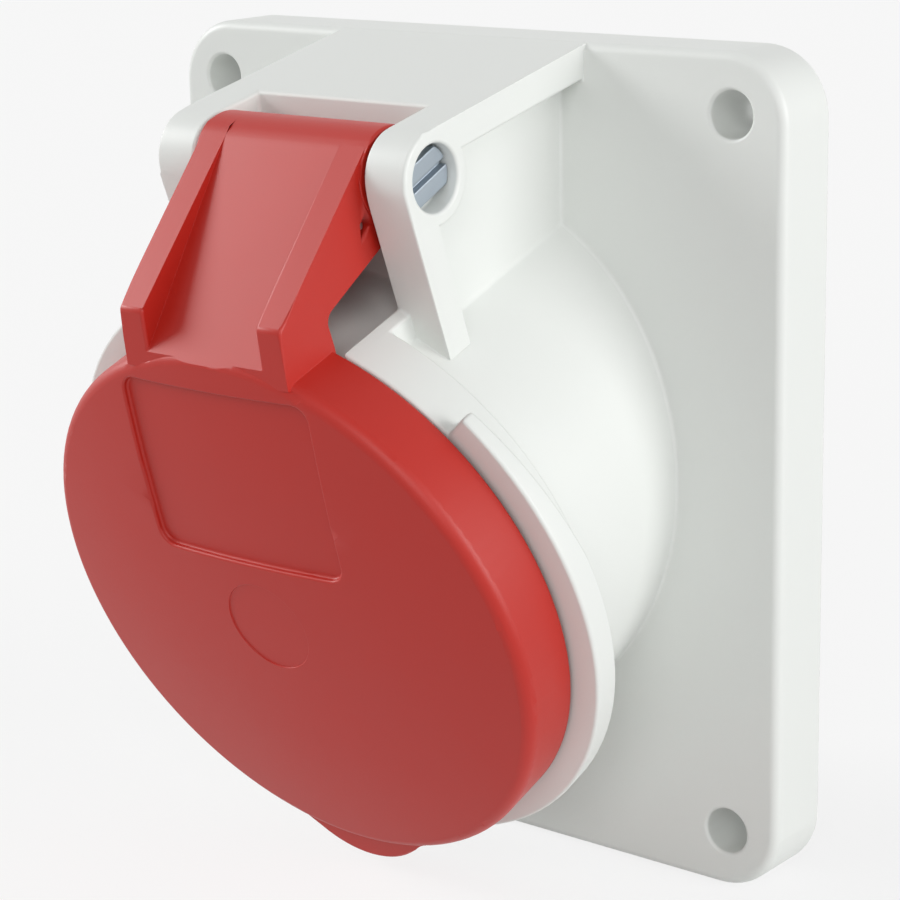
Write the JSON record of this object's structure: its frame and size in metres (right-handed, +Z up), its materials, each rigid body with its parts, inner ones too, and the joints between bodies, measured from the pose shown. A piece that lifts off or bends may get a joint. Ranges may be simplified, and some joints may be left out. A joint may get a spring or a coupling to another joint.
{
  "type": "industrial panel socket",
  "caption": "Inclined industrial panel socket with a rectangular flange, a round body with pin contacts and a spring-closed hinged lid.",
  "frame": {"origin": "centre of the four fixing holes, in the plane of the flange's mounting face", "axes": "+X to the right seen from the front, +Y into the panel, +Z up; the socket's axis points forward and 20 degrees down"},
  "size_m": [0.091, 0.0861, 0.099],
  "materials": {
    "housing_plastic": "light grey moulded thermoplastic, satin",
    "lid_plastic": "red moulded thermoplastic, satin",
    "carrier_plastic": "dark grey moulded thermoset, fine grain",
    "seal_rubber": "black soft seal",
    "contact_brass": "turned brass, clean",
    "spring_steel": "bright spring steel",
    "screw_steel": "zinc plated steel",
    "pin_steel": "plated steel, slightly blue"
  },
  "bodies": {
    "socket": {"housing": "housing_plastic", "flange_gasket": "seal_rubber", "contact_carrier": "carrier_plastic", "base_plate": "carrier_plastic", "terminal_carrier": "carrier_plastic", "contact_l1": "contact_brass", "contact_l2": "contact_brass", "contact_l3": "contact_brass", "contact_neutral": "contact_brass", "contact_earth": "contact_brass", "sleeve_spring_l1": "spring_steel", "sleeve_spring_l2": "spring_steel", "sleeve_spring_l3": "spring_steel", "sleeve_spring_neutral": "spring_steel", "sleeve_spring_earth": "spring_steel", "terminal_screws": "screw_steel", "carrier_screws": "screw_steel", "hinge_pin": "pin_steel"},
    "cover": {"lid": "lid_plastic", "lid_gasket": "seal_rubber", "lid_spring": "spring_steel"}
  },
  "joints": [
    {"name": "lid_hinge", "type": "hinge", "parent": "socket", "child": "cover", "pos_m": [0, -0.03649, 0.03749], "axis": [-1, 0, 0], "range_deg": [0, 140], "stiffness_Nm_per_rad": 0.02, "springref_deg": -85.94}
  ]
}
